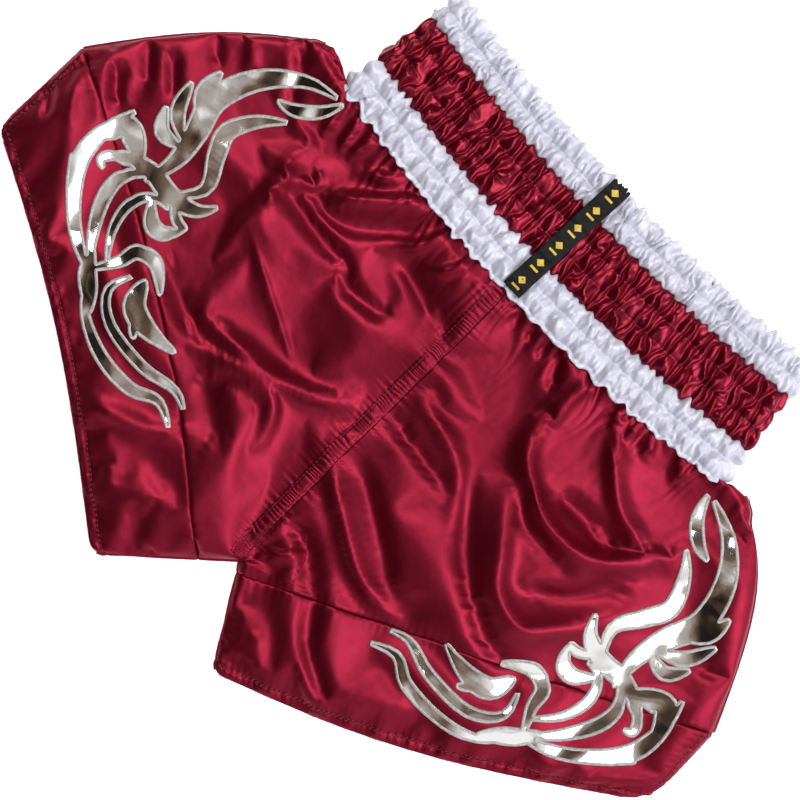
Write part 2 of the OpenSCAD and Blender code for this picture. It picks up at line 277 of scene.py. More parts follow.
def finish(name, colour, rough, **sockets):
    """A Principled material with constants on its own sockets; returns it with its node tools."""
    mat = bpy.data.materials.new(name)
    mat.use_nodes = True
    nodes, links = mat.node_tree.nodes, mat.node_tree.links
    shader = nodes["Principled BSDF"]
    shader.inputs["Base Color"].default_value = (*colour, 1)
    shader.inputs["Roughness"].default_value = rough
    for key, value in sockets.items():
        shader.inputs[key.replace("_", " ")].default_value = value
    mat.diffuse_color = (*colour, 1)
    return mat, nodes, links, shader


def noise_at(nodes, links, place, scale, detail=3.0, stretch=(1, 1, 1), grain=0.5):
    """A noise texture of scale waves per metre, pulled out by stretch. A higher grain keeps more
    of the finest waves."""
    mapping = nodes.new("ShaderNodeMapping")
    mapping.inputs["Scale"].default_value = stretch
    links.new(place, mapping.inputs["Vector"])
    noise = nodes.new("ShaderNodeTexNoise")
    noise.inputs["Scale"].default_value = scale
    noise.inputs["Detail"].default_value = detail
    noise.inputs["Roughness"].default_value = grain
    links.new(mapping.outputs["Vector"], noise.inputs["Vector"])
    return noise.outputs["Fac"]


def tint(nodes, links, shader, amount, low, high):
    """Base colour between two tints, by the value of amount."""
    ramp = nodes.new("ShaderNodeValToRGB")
    ramp.color_ramp.elements[0].position = 0.3
    ramp.color_ramp.elements[1].position = 0.7
    ramp.color_ramp.elements[0].color = (*low, 1)
    ramp.color_ramp.elements[1].color = (*high, 1)
    links.new(amount, ramp.inputs["Fac"])
    links.new(ramp.outputs["Color"], shader.inputs["Base Color"])


def bumps(nodes, links, shader, layers):
    """Bump nodes in a chain: each layer is a value, its strength and its depth in mm."""
    before = None
    for value, strength, depth in layers:
        bump = nodes.new("ShaderNodeBump")
        bump.inputs["Strength"].default_value = strength
        bump.inputs["Distance"].default_value = depth * MM
        links.new(value, bump.inputs["Height"])
        if before:
            links.new(before, bump.inputs["Normal"])
        before = bump.outputs["Normal"]
    links.new(before, shader.inputs["Normal"])


def threads(nodes, links, place, per_mm, direction="X"):
    """Fine parallel threads, per_mm of them in each mm."""
    wave = nodes.new("ShaderNodeTexWave")
    wave.bands_direction = direction
    wave.inputs["Scale"].default_value = per_mm * 1000 / 20 * 2 * math.pi
    wave.inputs["Distortion"].default_value = 0.6
    links.new(place, wave.inputs["Vector"])
    return wave.outputs["Fac"]

# %% Satin cloth
def satin(name, low, high, rough, metal, **sockets):
    """Woven satin: a grainy drift between two tints, a soft crumple, slubs along the floats, and
    the threads themselves."""
    mat, nodes, links, shader = finish(name, high, rough, Metallic=metal, **sockets)
    place = nodes.new("ShaderNodeUVMap").outputs["UV"]
    tint(nodes, links, shader, noise_at(nodes, links, place, 9, 9, grain=0.82), low, high)
    bumps(nodes, links, shader, [
        (noise_at(nodes, links, place, 110, 4), 0.30, 0.35),
        (noise_at(nodes, links, place, 700, 3, (1, 0.25, 1)), 0.22, 0.12),
        (threads(nodes, links, place, 1.6), 0.05, 0.06),
    ])
    grain = nodes.new("ShaderNodeTangent")
    grain.direction_type = "UV_MAP"
    links.new(grain.outputs["Tangent"], shader.inputs["Tangent"])
    return mat


crimson = satin("crimson_satin", (0.182, 0.004, 0.018), (0.285, 0.011, 0.036), 0.44, 0.84,
                Anisotropic=0.45, Specular_IOR_Level=0.4)
crimson_band = satin("maroon_satin", (0.165, 0.003, 0.015), (0.250, 0.007, 0.028), 0.31, 0.80,
                     Anisotropic=0.3, Specular_IOR_Level=0.6)
# Painted shade: both tints of the white satin are darkened and turned lilac-blue to stand in for
# the lilac-blue shade the white cloth takes; only the drift between the two tints is the cloth's
# own grain.
white = satin("pearl_satin", (0.56, 0.56, 0.67), (0.68, 0.69, 0.80), 0.42, 0.12,
              Anisotropic=0.2, Sheen_Weight=0.2, Sheen_Roughness=0.4)

# %% Film, wound thread and plain weave
def mirror_foil():
    """Metallised film: a mirror with soft waves from the cloth below, and faint scuffs."""
    mat, nodes, links, shader = finish("mirror_film", (0.93, 0.92, 0.90), 0.10, Metallic=1.0)
    place = nodes.new("ShaderNodeUVMap").outputs["UV"]
    bumps(nodes, links, shader, [
        (noise_at(nodes, links, place, 38, 1), 0.45, 1.6),
        (noise_at(nodes, links, place, 260, 2), 0.22, 0.20),
    ])
    return mat


def wound_thread(name, low, high, metal, per_mm, rough=0.4):
    """Thread laid side by side across a border: stripes along the border's own length."""
    mat, nodes, links, shader = finish(name, high, rough, Metallic=metal, Sheen_Weight=0.2)
    place = nodes.new("ShaderNodeUVMap").outputs["UV"]
    strands = threads(nodes, links, place, per_mm)
    tint(nodes, links, shader, noise_at(nodes, links, place, 400, 2), low, high)
    bumps(nodes, links, shader, [(strands, 0.7, 0.35)])
    return mat


def plain_weave(name, low, high, rough, scale=900, depth=0.2, metal=0.0, fuzz=0.2, gloss=0.5):
    """Close weave read from the object's own metres: crossed threads and a drifting tint."""
    mat, nodes, links, shader = finish(name, high, rough, Metallic=metal, Sheen_Weight=fuzz,
                                       Specular_IOR_Level=gloss)
    place = nodes.new("ShaderNodeTexCoord").outputs["Object"]
    tint(nodes, links, shader, noise_at(nodes, links, place, scale / 6, 4), low, high)
    bumps(nodes, links, shader, [
        (threads(nodes, links, place, scale / 1000), 0.3, depth),
        (threads(nodes, links, place, scale / 1000, "Y"), 0.3, depth),
    ])
    return mat

# %% Make the finishes
foil = mirror_foil()
silver_thread = wound_thread("silver_thread", (0.50, 0.50, 0.50), (0.78, 0.78, 0.77), 0.5, 1.8)
crimson_thread = plain_weave("crimson_thread", (0.13, 0.003, 0.014), (0.22, 0.007, 0.024), 0.5,
                             2600, fuzz=0.03)
white_thread = plain_weave("white_thread", (0.75, 0.76, 0.80), (0.90, 0.90, 0.92), 0.5, 2600)
elastic_web = plain_weave("elastic_web", (0.70, 0.70, 0.72), (0.86, 0.86, 0.88), 0.7, 1200, 0.4)
lining_cloth = plain_weave("lining_cloth", (0.74, 0.74, 0.76), (0.88, 0.88, 0.90), 0.7, 1400)
black_ribbon = plain_weave("black_ribbon", (0.003, 0.003, 0.003), (0.010, 0.010, 0.011), 0.55,
                           1500, fuzz=0.0, gloss=0.2)
gold_thread = plain_weave("gold_thread", (0.62, 0.42, 0.05), (0.85, 0.62, 0.10), 0.45, 2200, 0.3,
                          0.2)
black_thread = plain_weave("black_thread", (0.004, 0.004, 0.004), (0.015, 0.015, 0.015), 0.5, 2600)
print("finishes", len(bpy.data.materials))

# %% [markdown]
# ## Folds
# Satin creases where the waist gathers it and where the legs part. Each fold is a path with a
# height and two widths, one for each side of the path, so that one flank can be steep and the
# other gentle. Negative heights are hollows. The folds seed the drape that comes after.

# %% Where the folds run: path, height, width on the left and on the right of the path, in mm
FOLDS = [
    # Right leg, under the waistband
    ([(-70, 106), (-93, 80), (-122, 54)], 6, 8, 6),
    ([(-58, 97), (-85, 66), (-110, 52), (-142, 60)], -5, 8, 8),
    ([(-110, 110), (-100, 96), (-115, 84)], 4.5, 5, 4),
    ([(-157, 110), (-151, 84)], 4, 4, 3),
    ([(-141, 108), (-137, 84)], 4, 4, 3),
    ([(-126, 106), (-129, 86)], 4, 4, 3),
    ([(-50, 104), (-55, 84), (-66, 66)], 4, 5, 4),
    ([(-30, 102), (-32, 84), (-42, 70)], 3.5, 4, 4),
    ([(-138, 66), (-130, 58), (-141, 51)], 3, 4, 3),
    ([(-153, 52), (-145, 46), (-151, 39)], 3, 4, 3),
    ([(-148, 35), (-139, 28)], 3, 4, 3),
    # Right leg, middle
    ([(-155, 44), (-115, 39), (-80, 34)], -5, 6, 8),
    ([(-62, 62), (-20, 50)], -4, 8, 6),
    ([(-82, 25), (-38, 30)], -3.5, 7, 7),
    ([(-152, 62), (-146, 30), (-145, -4)], 4, 9, 7),
    ([(-142, 11), (-100, -12), (-58, -33)], 1.3, 2.5, 3),
    ([(-122, -50), (-60, -45), (-18, -25)], 5, 8, 6),
    ([(-112, -65), (-75, -56), (-55, -58), (-43, -77)], 4, 6, 6),
    ([(-102, -75), (-58, -101)], -3.5, 9, 9),
    ([(-172, -40), (-118, -61)], -4.5, 9, 9),
    ([(-195, -70), (-150, -88), (-110, -84)], 3.5, 10, 8),
    ([(-142, -140), (-100, -125), (-78, -109)], 3.5, 8, 6),
    ([(-74, -140), (-60, -170), (-48, -194)], -3, 8, 9),
    ([(-100, -150), (-88, -180)], 2.5, 8, 7),
    ([(-292, 12), (-258, -32)], 2.4, 5, 4),
    ([(-280, 24), (-244, -22)], 1.8, 5, 5),
    # Right leg, short tucks along the side seam
    ([(-271, 23), (-252, 4)], -4, 5, 4),
    ([(-267, 47), (-248, 27)], -3.5, 4, 5),
    ([(-251, 52), (-231, 32)], -4, 5, 4),
    ([(-293, -14), (-278, -32)], -3, 4, 4),
    ([(-243, 82), (-226, 64)], -3, 5, 5),
    ([(-200, 114), (-186, 96), (-176, 76)], -3.5, 6, 5),
    ([(-222, 92), (-206, 76)], 2.5, 6, 5),
    # Left leg, short tucks along the side seam
    ([(213, 92), (196, 80)], -2.5, 5, 4),
    ([(262, 20), (246, 12)], -2.5, 5, 5),
    # Left leg, gathers under the waistband
    ([(12, 98), (17, 82)], -4, 4, 4),
    ([(25, 97), (30, 80)], -4, 4, 4),
    ([(37, 96), (43, 78)], -4, 4, 4),
    ([(46, 97), (61, 69)], -5, 5, 5),
    ([(100, 98), (104, 84)], 4, 4, 3),
    ([(113, 99), (116, 84)], 4, 4, 3),
    ([(126, 100), (132, 84)], 4, 4, 4),
    ([(148, 104), (156, 86)], 3.5, 5, 4),
    ([(78, 98), (74, 78), (75, 60)], 4, 5, 6),
    # Left leg, the long folds
    ([(108, 82), (128, 60), (150, 46), (180, 42)], 6, 8, 5),
    ([(75, 62), (80, 35), (95, 20), (120, 10), (150, 13), (170, 30), (180, 43)], 8, 6, 9),
    ([(105, 28), (135, 31), (165, 28)], -6, 8, 8),
    ([(88, 24), (108, 3), (142, 0)], -4, 6, 6),
    ([(84, 10), (108, -20), (125, -40), (150, -46), (167, -30), (187, -4)], 7, 7, 9),
    ([(135, -33), (162, -10), (185, 25)], -4, 9, 9),
    ([(52, 2), (80, -22), (108, -47), (150, -67), (192, -60)], -5, 8, 8),
    ([(0, -12), (60, -19)], -3.5, 6, 5),
    ([(14, 8), (55, -4), (82, -34)], 4, 7, 6),
    ([(8, -45), (40, -62), (80, -86)], -4, 7, 7),
    ([(-2, -58), (30, -78), (60, -94), (92, -98)], 5.5, 7, 6),
    ([(4, -100), (24, -106), (40, -120)], -4.5, 8, 7),
    ([(10, -126), (28, -110)], 3.5, 4, 5),
    ([(44, -114), (70, -150), (102, -166)], -4.5, 7, 8),
    ([(58, -148), (92, -168), (114, -171)], 4, 6, 6),
    ([(14, -150), (30, -191)], -3, 6, 7),
    ([(98, -108), (150, -112), (205, -92)], 3, 12, 10),
    ([(36, -160), (62, -186)], 2.5, 6, 6),
]


def fold(x, y, path, height, left, right):
    """Height of one fold: a bell across its path, wider or narrower on each side, eased out at
    both ends. The nearest of many points on the smoothed path gives the distance and the side."""
    line = cubic(np.array(path, float), 14)
    along = np.gradient(line, axis=0)
    along /= np.linalg.norm(along, axis=1, keepdims=True)
    gap = np.stack([x[..., None] - line[:, 0], y[..., None] - line[:, 1]], -1)
    near = (gap**2).sum(-1).argmin(-1)
    gap = np.take_along_axis(gap, near[..., None, None], -2)[..., 0, :]
    on_left = along[near, 0] * gap[..., 1] - along[near, 1] * gap[..., 0] > 0
    end = np.minimum(near, len(line) - 1 - near) / len(line)
    d = np.hypot(gap[..., 0], gap[..., 1])
    return height * bell(d, np.where(on_left, left, right) * 0.95) * (0.25 + 0.75 * ease(end * 4))


def folds_at(x, y):
    """All folds together, with soft undulation of the cloth between them."""
    total = sum(fold(x, y, *f) for f in FOLDS)
    return 1.1 * total + 1.9 * waves(x, y, 80, 3) + 0.2 * waves(x, y, 28, 4)

# %% [markdown]
# ## How high the front lies
# Air and the folded seams hold the front off the back. It rises from each side fold in a
# quarter round, is highest where the waistband lifts it, and nearly rests on the back at the hem.

# %% The front sheet before draping
EDGE_Z = 2.8


def front_height(side):
    """Grid of points: from the side folds up in a quarter round, highest at the waist."""
    grid = flat[side]
    down, out = run(grid, 0), run(grid, 1)
    v = down / down[-1:]
    to_side = out[:, -1:] - out
    below = np.arange(ROWS + 1)[:, None] >= TO_CROTCH
    to_inseam = np.where(below, out, 99)
    near = np.minimum(np.minimum(to_side / 20, to_inseam / 16), 1)
    rounding = np.sqrt(1 - (1 - near) ** 2)
    table = np.interp(v, [0, 0.07, 0.35, 0.75, 0.93, 1], [12.3, 11.5, 9, 8, 5.5, 3.6])
    loose = ease(down / 12) * ease((down[-1:] - down) / 25) * ease(near)
    z = EDGE_Z + (table - EDGE_Z) * rounding + folds_at(grid[..., 0], grid[..., 1]) * loose
    return np.dstack([grid, np.maximum(z, 2.6)])


start = {side: front_height(side) for side in SIDES}
for side in SIDES:
    print(SIDES[side], "front rises to", start[side][..., 2].max().round(1), "mm")

# %% [markdown]
# ## Let the cloth settle
# The listed folds are too even. Blender's Cloth lets the sheet grow a little inside its sewn
# edges, so it buckles and leans as satin does. The two legs are welded along the middle, and the
# waist, the side folds, the inseams and the hem are held. It runs on a copy ten times as large,
# because the solver is steadier at that size.

# %% Drape the front with Cloth


def drape(points, faces, held, frames=22, bigger=10):
    """Settles a mesh (mm) over a low floor; held is each vertex's pin weight, 0 to 1."""
    scene = bpy.context.scene
    mesh = bpy.data.meshes.new("drape")
    mesh.from_pydata(points * MM * bigger, [], faces.tolist())
    sheet = bpy.data.objects.new("drape", mesh)
    table = bpy.data.meshes.new("table")
    half = 0.5 * bigger
    table.from_pydata([(-half, -half, 0), (half, -half, 0), (half, half, 0), (-half, half, 0)],
                      [], [(0, 1, 2, 3)])
    floor = bpy.data.objects.new("table", table)
    floor.location.z = 2.2 * MM * bigger
    for obj in (sheet, floor):
        scene.collection.objects.link(obj)
    floor.modifiers.new("hit", "COLLISION")
    floor.collision.thickness_outer = 0.01
    group = sheet.vertex_groups.new(name="held")
    for weight in np.unique(held[held > 0]):
        group.add(np.flatnonzero(held == weight).tolist(), float(weight), "REPLACE")
    cloth = sheet.modifiers.new("cloth", "CLOTH")
    s = cloth.settings
    s.quality, s.mass, s.air_damping = 7, 0.3, 2
    s.tension_stiffness = s.compression_stiffness = 25
    s.shear_stiffness, s.bending_stiffness = 8, 3
    s.vertex_group_mass = "held"
    s.shrink_min = s.shrink_max = -0.021
    s.effector_weights.gravity = 0.04
    cloth.collision_settings.distance_min = 0.01
    for f in range(1, frames + 1):
        scene.frame_set(f)
    done = sheet.evaluated_get(bpy.context.evaluated_depsgraph_get()).to_mesh()
    out = np.empty(len(points) * 3)
    done.vertices.foreach_get("co", out)
    scene.frame_set(1)
    for obj in (sheet, floor):
        bpy.data.objects.remove(obj)
    bpy.data.meshes.remove(mesh)
    bpy.data.meshes.remove(table)
    return out.reshape(-1, 3) / MM / bigger


def settled():
    """Both fronts, welded down the middle, draped together and taken apart again."""
    size = (ROWS + 1) * (ACROSS + 1)
    index = {RIGHT: np.arange(size).reshape(ROWS + 1, -1),
             LEFT: size + np.arange(size).reshape(ROWS + 1, -1)}
    index[LEFT][:TO_CROTCH + 1, 0] = index[RIGHT][:TO_CROTCH + 1, 0]
    points = np.concatenate([start[s].reshape(-1, 3) for s in (RIGHT, LEFT)])
    faces = np.concatenate([np.stack([i[:-1, :-1], i[:-1, 1:], i[1:, 1:], i[1:, :-1]], -1)
                            .reshape(-1, 4)[:, ::s] for s, i in index.items()])
    held = np.zeros(len(points))
    for i in index.values():
        held[i[[0, -1]]] = 1
        held[i[:, -1]] = 1
        held[i[TO_CROTCH:, 0]] = 1
    used, new = np.unique(faces, return_inverse=True)
    moved = drape(points[used], new.reshape(-1, 4), held[used])
    points[used] = moved
    return {s: points[index[s]] for s in SIDES}


draped = settled()
for side in SIDES:
    shift = np.linalg.norm(draped[side] - start[side], axis=-1)
    draped[side][..., 2] = np.clip(draped[side][..., 2], 2.4, 23.5)
    print(SIDES[side], "cloth moved at most", shift.max().round(1), "mm,",
          "mean", shift.mean().round(2))

# %% [markdown]
# ## Seams on the sheet
# A line of stitching pulls satin into short puckers across itself and sinks a little. The grid is
# made three times finer first, so that these small marks have enough points.

# %% Three times finer
FINE = 3
SEAM_ROW = PANEL_ROWS * FINE
print("hem seam at fine row", SEAM_ROW)

# %% Puckers
def pucker(along, away, pitch, seed):
    """Short ridges across a seam: pitch long on average, dying away within a few mm."""
    wave = np.sin(2 * np.pi * along / pitch + 2.5 * waves(along, along * 0, pitch * 4, seed))
    return wave * np.exp(-np.abs(away) / 4.5)


def dressed(side):
    """The fine front sheet: hem seam, hem fold, slit fold and middle seam worked into it."""
    grid, plan = finer(draped[side], FINE), finer(flat[side], FINE)
    down, out = run(plan, 0), run(plan, 1)
    to_seam = down - down[SEAM_ROW]
    to_hem = down[-1:] - down
    to_slit = np.where(np.arange(len(plan))[:, None] >= SEAM_ROW, out[:, -1:] - out, 60)
    to_middle = np.abs(plan[..., 0] + 5) - 5
    z = -0.8 * bell(to_seam, 1.1) + 0.30 * pucker(out, to_seam, 5.0, 11 + side)
    for gap, along, seed in ((to_hem, out, 21), (to_slit, down, 31)):
        z = z + 0.5 * ease((6.6 - gap) / 1.2) - 0.7 * bell(gap - 6, 0.9)
        z = z + 0.38 * pucker(along, gap - 6, 4.2, seed + side)
    body = (np.arange(len(plan))[:, None] < TO_CROTCH * FINE)
    z = z + body * 0.55 * pucker(down, np.maximum(to_middle, 0), 3.4, 41)
    drawn = np.abs(np.cos(np.pi * out / 9 + 1.6 * waves(out, down / 2, 22, 61 + side))) ** 1.6
    z = z + 2.4 * (drawn - 0.45) * np.exp(-down / 15) * (0.7 + 0.5 * waves(out, out * 0, 30, 62))
    z = z + 0.03 * waves(plan[..., 0], plan[..., 1], 7, 51 + side)
    return grid + normals_of(grid) * z[..., None]

# %% Dress both fronts
flat_fine = {side: finer(flat[side], FINE) for side in SIDES}
front = {side: dressed(side) for side in SIDES}
print("dressed", [front[side].shape for side in SIDES])

# %% [markdown]
# ## The motif stiffens the cloth
# Film and its backing are stiffer than satin, so no sharp crease crosses them. Inside the flame's
# outline, and a little past it, the sheet is blended with a softened copy of itself.

# %% Calm the cloth under the motif
CHUNK = 20000                  # points tested at once, to save memory
MARGIN, MARGIN_GAIN = 24, 3.2  # how far past the motif the calm cloth reaches, and how fully
CALM = 40                      # how often the calm cloth is averaged


def inside(points, loops):
    """Whether each point lies inside the loops: an odd number of edges crosses the ray to its
    right."""
    hits = np.zeros(len(points), int)
    for loop in loops:
        a, b = loop, np.roll(loop, -1, 0)
        for part in range(0, len(points), CHUNK):
            p = points[part:part + CHUNK, None]
            rise = b[:, 1] - a[:, 1]
            cross = (a[:, 1] > p[..., 1]) != (b[:, 1] > p[..., 1])
            share = (p[..., 1] - a[:, 1]) / np.where(rise == 0, 1, rise)
            at = a[:, 0] + share * (b[:, 0] - a[:, 0])
            hits[part:part + CHUNK] += (cross & (p[..., 0] < at)).sum(1)
    return hits % 2 == 1


def soft(field, times):
    """A grid with each point averaged with its neighbours, several times over."""
    for _ in range(times):
        pad = np.pad(field, ((1, 1), (1, 1), (0, 0)), "edge")
        field = (pad[:-2, 1:-1] + pad[2:, 1:-1] + pad[1:-1, :-2] + pad[1:-1, 2:] + 4 * field) / 8
    return field


flame = {side: [l - AT for l in outlines("foil_" + word)] for side, word in SIDES.items()}
for side in SIDES:
    under = inside(flat_fine[side].reshape(-1, 2), flame[side]).reshape(front[side].shape[:2])
    near = np.clip(soft(under[..., None] * 1.0, MARGIN) * MARGIN_GAIN, 0, 1)
    calm = soft(front[side], CALM)
    calm[[0, -1]] = front[side][[0, -1]]
    calm[:, [0, -1]] = front[side][:, [0, -1]]
    front[side] = front[side] * (1 - near) + calm * near
    print(SIDES[side], "motif calms", int((near > 0.5).mean() * 100), "percent of the sheet")
join = (front[RIGHT][:TO_CROTCH * FINE + 1, 0] + front[LEFT][:TO_CROTCH * FINE + 1, 0]) / 2
for side in SIDES:
    front[side][:TO_CROTCH * FINE + 1, 0] = join
    front[side][..., 2] = np.maximum(front[side][..., 2], 2.0)
print("fine sheet", front[RIGHT].shape, "highest", front[LEFT][..., 2].max().round(1))

# %% [markdown]
# ## The back of the shorts
# The back lies on the table, so its creases are low and pressed flat, and only their tops lift.

# %% The back sheet


def back_sheet(side):
    """The flat grid, lifted a little by pressed creases: the positive part of soft waves."""
    plan = finer(flat[side], 2)
    x, y = plan[..., 0], plan[..., 1]
    out, down = run(plan, 1), run(plan, 0)
    edge = ease(np.minimum(out[:, -1:] - out, down[-1:] - down) / 14)
    crease = 1.3 * np.maximum(waves(x * 1.6 - y * 0.5, y * 0.6, 46, 61), 0) * edge
    seam = -0.25 * bell(down - down[PANEL_ROWS * 2], 1.4)
    lift = 0.45 + crease + 0.08 * waves(x, y, 9, 62) + seam * edge
    lift = lift + 0.12 * pucker(down, out, 3.8, 63)
    return np.dstack([plan, np.clip(lift, 0.36, 2.1)])


back = {side: back_sheet(side) for side in SIDES}
print("back rises to", back[LEFT][..., 2].max().round(2), "mm")

# %% [markdown]
# ## Cut the sheets into their pattern pieces
# The grids were laid over whole legs so that folds run on across a seam. Now each leg is parted
# at its hem seam.

# %% Panels and hem bands


def sheet_piece(name, grid, plan, wall=0.35, over=False):
    """One pattern piece out of a sheet, its UV map holding the flat pattern it was cut from."""
    flip = facing_up(grid) == over
    faces = grid_faces(*grid.shape[:2], flip=flip)
    uv = plan.reshape(-1, 2)
    obj = piece(name, grid, faces, crimson, (name,), uv, wall)
    return obj


for side, word in SIDES.items():
    n = SEAM_ROW + 1
    upper, plan = front[side][:n], flat_fine[side][:n]
    sheet_piece("front_panel_" + word, upper, plan)
    sheet_piece("hem_band_front_" + word, front[side][n - 1:], flat_fine[side][n - 1:], wall=0.6)
    m = PANEL_ROWS * 2 + 1
    plan = finer(flat[side], 2)
    sheet_piece("back_panel_" + word, back[side][:m], plan[:m], over=True)
    sheet_piece("hem_band_back_" + word, back[side][m - 1:], plan[m - 1:], over=True)

# %% [markdown]
# ## The folded edges
# Side seams and inseams are only seen on edge, where the cloth turns from the front to the back.
# Each is a half round carried along the edge, from the edge of the front down to the back's.

# %% Side seams and inseams


def fold_strip(name, top, bottom, outward):
    """Half round from top to bottom: a blend of the two edges, pushed out by a sine."""
    t = np.linspace(0, 1, 9)[:, None, None]
    bulge = (np.sin(np.pi * t) * 0.5 * np.abs(top[..., 2:] - bottom[..., 2:])[None])
    blend = (1 - np.cos(np.pi * t)) / 2
    grid = top * (1 - blend) + bottom * blend
    grid[..., :2] += outward * bulge
    plan = np.stack(np.broadcast_arrays(run(top[None], 1)[0] + t[..., 0] * 0, t[..., 0] * 6), -1)
    normal = np.cross(grid[5, 1] - grid[4, 1], grid[4, 2] - grid[4, 1])
    out = np.r_[outward[1], 0]
    faces = grid_faces(*grid.shape[:2], flip=normal @ out > 0)
    return piece(name, grid, faces, crimson, (name,), plan, 0.3)


def outward_of(path, away_from):
    """Unit normals of a flat path, in its plane, on the side away from a point."""
    t = np.gradient(path, axis=0)
    n = np.stack([t[:, 1], -t[:, 0]], 1) / np.linalg.norm(t, axis=1, keepdims=True)
    turned = ((path - away_from) * n).sum(1).mean() > 0
    return n if turned else -n


for side, word in SIDES.items():
    rows = np.arange(len(front[side]))
    halfway = np.interp(rows / FINE, np.arange(len(back[side])) / 2, np.arange(len(back[side])))
    for name, column, span in (("side_seam_", -1, slice(0, SEAM_ROW + 1)),
                               ("inseam_", 0, slice(TO_CROTCH * FINE, None))):
        low = np.stack([np.interp(halfway, np.arange(len(back[side])), back[side][:, column, k])
                        for k in range(3)], 1)
        top, bottom = front[side][span, column], low[span]
        outward = outward_of(top[:, :2], np.array([side * 120.0, -20.0]))
        fold_strip(name + word, top, bottom, outward)

# %% [markdown]
# ## Laying things on the front
# The motif, the stitches and the middle seam lie on the draped cloth. Each is drawn flat first. To
# carry a flat point over, its place in the flat grid is found by Newton's method, and the same
# place in the draped grid gives its height and the way it faces.

# %% Carry flat points onto the cloth


def at_place(field, i, j):
    """Bilinear reading of a grid at fractional rows i and columns j."""
    a = np.clip(i.astype(int), 0, field.shape[0] - 2)
    b = np.clip(j.astype(int), 0, field.shape[1] - 2)
    u, v = (i - a)[..., None], (j - b)[..., None]
    return (field[a, b] * (1 - u) * (1 - v) + field[a + 1, b] * u * (1 - v)
            + field[a, b + 1] * (1 - u) * v + field[a + 1, b + 1] * u * v)


def on_cloth(side, points, lift, smooth=0):
    """Flat points (n, 2) placed on the front of a leg and raised by lift along its normal."""
    plan = flat_fine[side]
    top = soft(front[side], smooth) if smooth else front[side]
    up = normals_of(top)
    some = plan[::4, ::4].reshape(-1, 2)
    near = np.concatenate([((p[:, None] - some) ** 2).sum(-1).argmin(1)
                           for p in np.array_split(points, len(points) // 3000 + 1)])
    cols = len(range(0, plan.shape[1], 4))
    i, j = (near // cols) * 4.0, (near % cols) * 4.0
    for _ in range(6):
        here = at_place(plan, i, j)
        di = at_place(plan, i + 0.5, j) - at_place(plan, i - 0.5, j)
        dj = at_place(plan, i, j + 0.5) - at_place(plan, i, j - 0.5)
        miss = points - here
        det = di[:, 0] * dj[:, 1] - di[:, 1] * dj[:, 0]
        det = np.where(np.abs(det) < 1e-6, 1e-6, det)
        i = i + np.clip((miss[:, 0] * dj[:, 1] - miss[:, 1] * dj[:, 0]) / det, -8, 8)
        j = j + np.clip((di[:, 0] * miss[:, 1] - di[:, 1] * miss[:, 0]) / det, -8, 8)
        i, j = np.clip(i, 0, plan.shape[0] - 1), np.clip(j, 0, plan.shape[1] - 1)
    normal = at_place(up, i, j)
    normal /= np.linalg.norm(normal, axis=1, keepdims=True)
    return at_place(top, i, j) + normal * np.reshape(lift, (-1, 1)), normal

# %% [markdown]
# ## Stitches
# One stitch is a short rod of thread that dives into the cloth at both ends. Hundreds of them are
# made at once: four rings of six points, carried to every stitch's place.

# %% Rows of stitches


def stitch_row(path, up, length=2.4, gap=0.9, wide=0.35, high=0.3):
    """Stitches along a path of points with normals: rings of six points at four stations."""
    d = np.r_[0, np.cumsum(np.linalg.norm(np.diff(path, axis=0), axis=1))]
    count = max(int(d[-1] // (length + gap)), 1)
    middle = (np.arange(count) + 0.5) * d[-1] / count

    def read(values, where):
        return np.stack([np.interp(where, d, values[:, k]) for k in range(3)], -1)

    centre, normal = read(path, middle), read(up, middle)
    along = read(path, middle + 0.4) - read(path, middle - 0.4)
    along /= np.linalg.norm(along, axis=1, keepdims=True)
    side = np.cross(normal, along)
    side /= np.linalg.norm(side, axis=1, keepdims=True)
    station = np.array([-0.5, -0.32, 0.32, 0.5]) * length
    swell = np.array([0.45, 1, 1, 0.45])
    drop = np.array([-0.35, 0, 0, -0.35])
    a = np.linspace(0, 2 * np.pi, 6, endpoint=False)
    ring = (side[:, None, None] * (np.cos(a) * wide)[None, None, :, None] * swell[:, None, None]
            + normal[:, None, None] * (np.sin(a) * high)[None, None, :, None]
            * swell[:, None, None])
    return (centre[:, None, None] + along[:, None, None] * station[:, None, None]
            + normal[:, None, None] * drop[:, None, None] + ring)


def stitch_faces(count):
    """Sides and end caps of each stitch's rings."""
    k = np.arange(6)
    one = [(r * 6 + k[i], r * 6 + k[i - 5], r * 6 + 6 + k[i - 5], r * 6 + 6 + k[i])
           for r in range(3) for i in range(6)]
    caps = [tuple(k[::-1]), tuple(18 + k)]
    return [tuple(int(v) + 24 * s for v in f) for s in range(count) for f in (*one, *caps)]


def stitching(name, rows, finish):
    """All rows of one kind of stitch as a single piece."""
    rings = np.concatenate(rows)
    return piece(name, rings, stitch_faces(len(rings)), finish, (name,))


for side, word in SIDES.items():
    plan = flat_fine[side]
    to_edge = run(plan, 0)
    rows = []
    for inset in (5.6, 6.6):
        i = len(plan) - 1 - inset / (to_edge[-1] - to_edge[-2]).mean()
        hem = at_place(plan, np.full(plan.shape[1], i), np.arange(plan.shape[1]) * 1.0)
        out = run(plan, 1)[SEAM_ROW:]
        j = plan.shape[1] - 1 - inset / (out[:, -1] - out[:, -2])
        slit = at_place(plan, np.arange(SEAM_ROW, len(plan)) * 1.0, j)
        hem = hem[:int(j[-1])]
        low = int(i) - SEAM_ROW
        for path in (hem[2:], slit[2:low]):
            rows.append(stitch_row(*on_cloth(side, even(path, 300), 0.25)))
    stitching("hem_stitching_" + word, rows, crimson_thread)

# %% [markdown]
# ## The middle seam
# A felled seam runs from the waistband to the crotch: a flat strip, sewn down along both edges.
# The two rows of thread gather it into a tight ladder of small ridges.

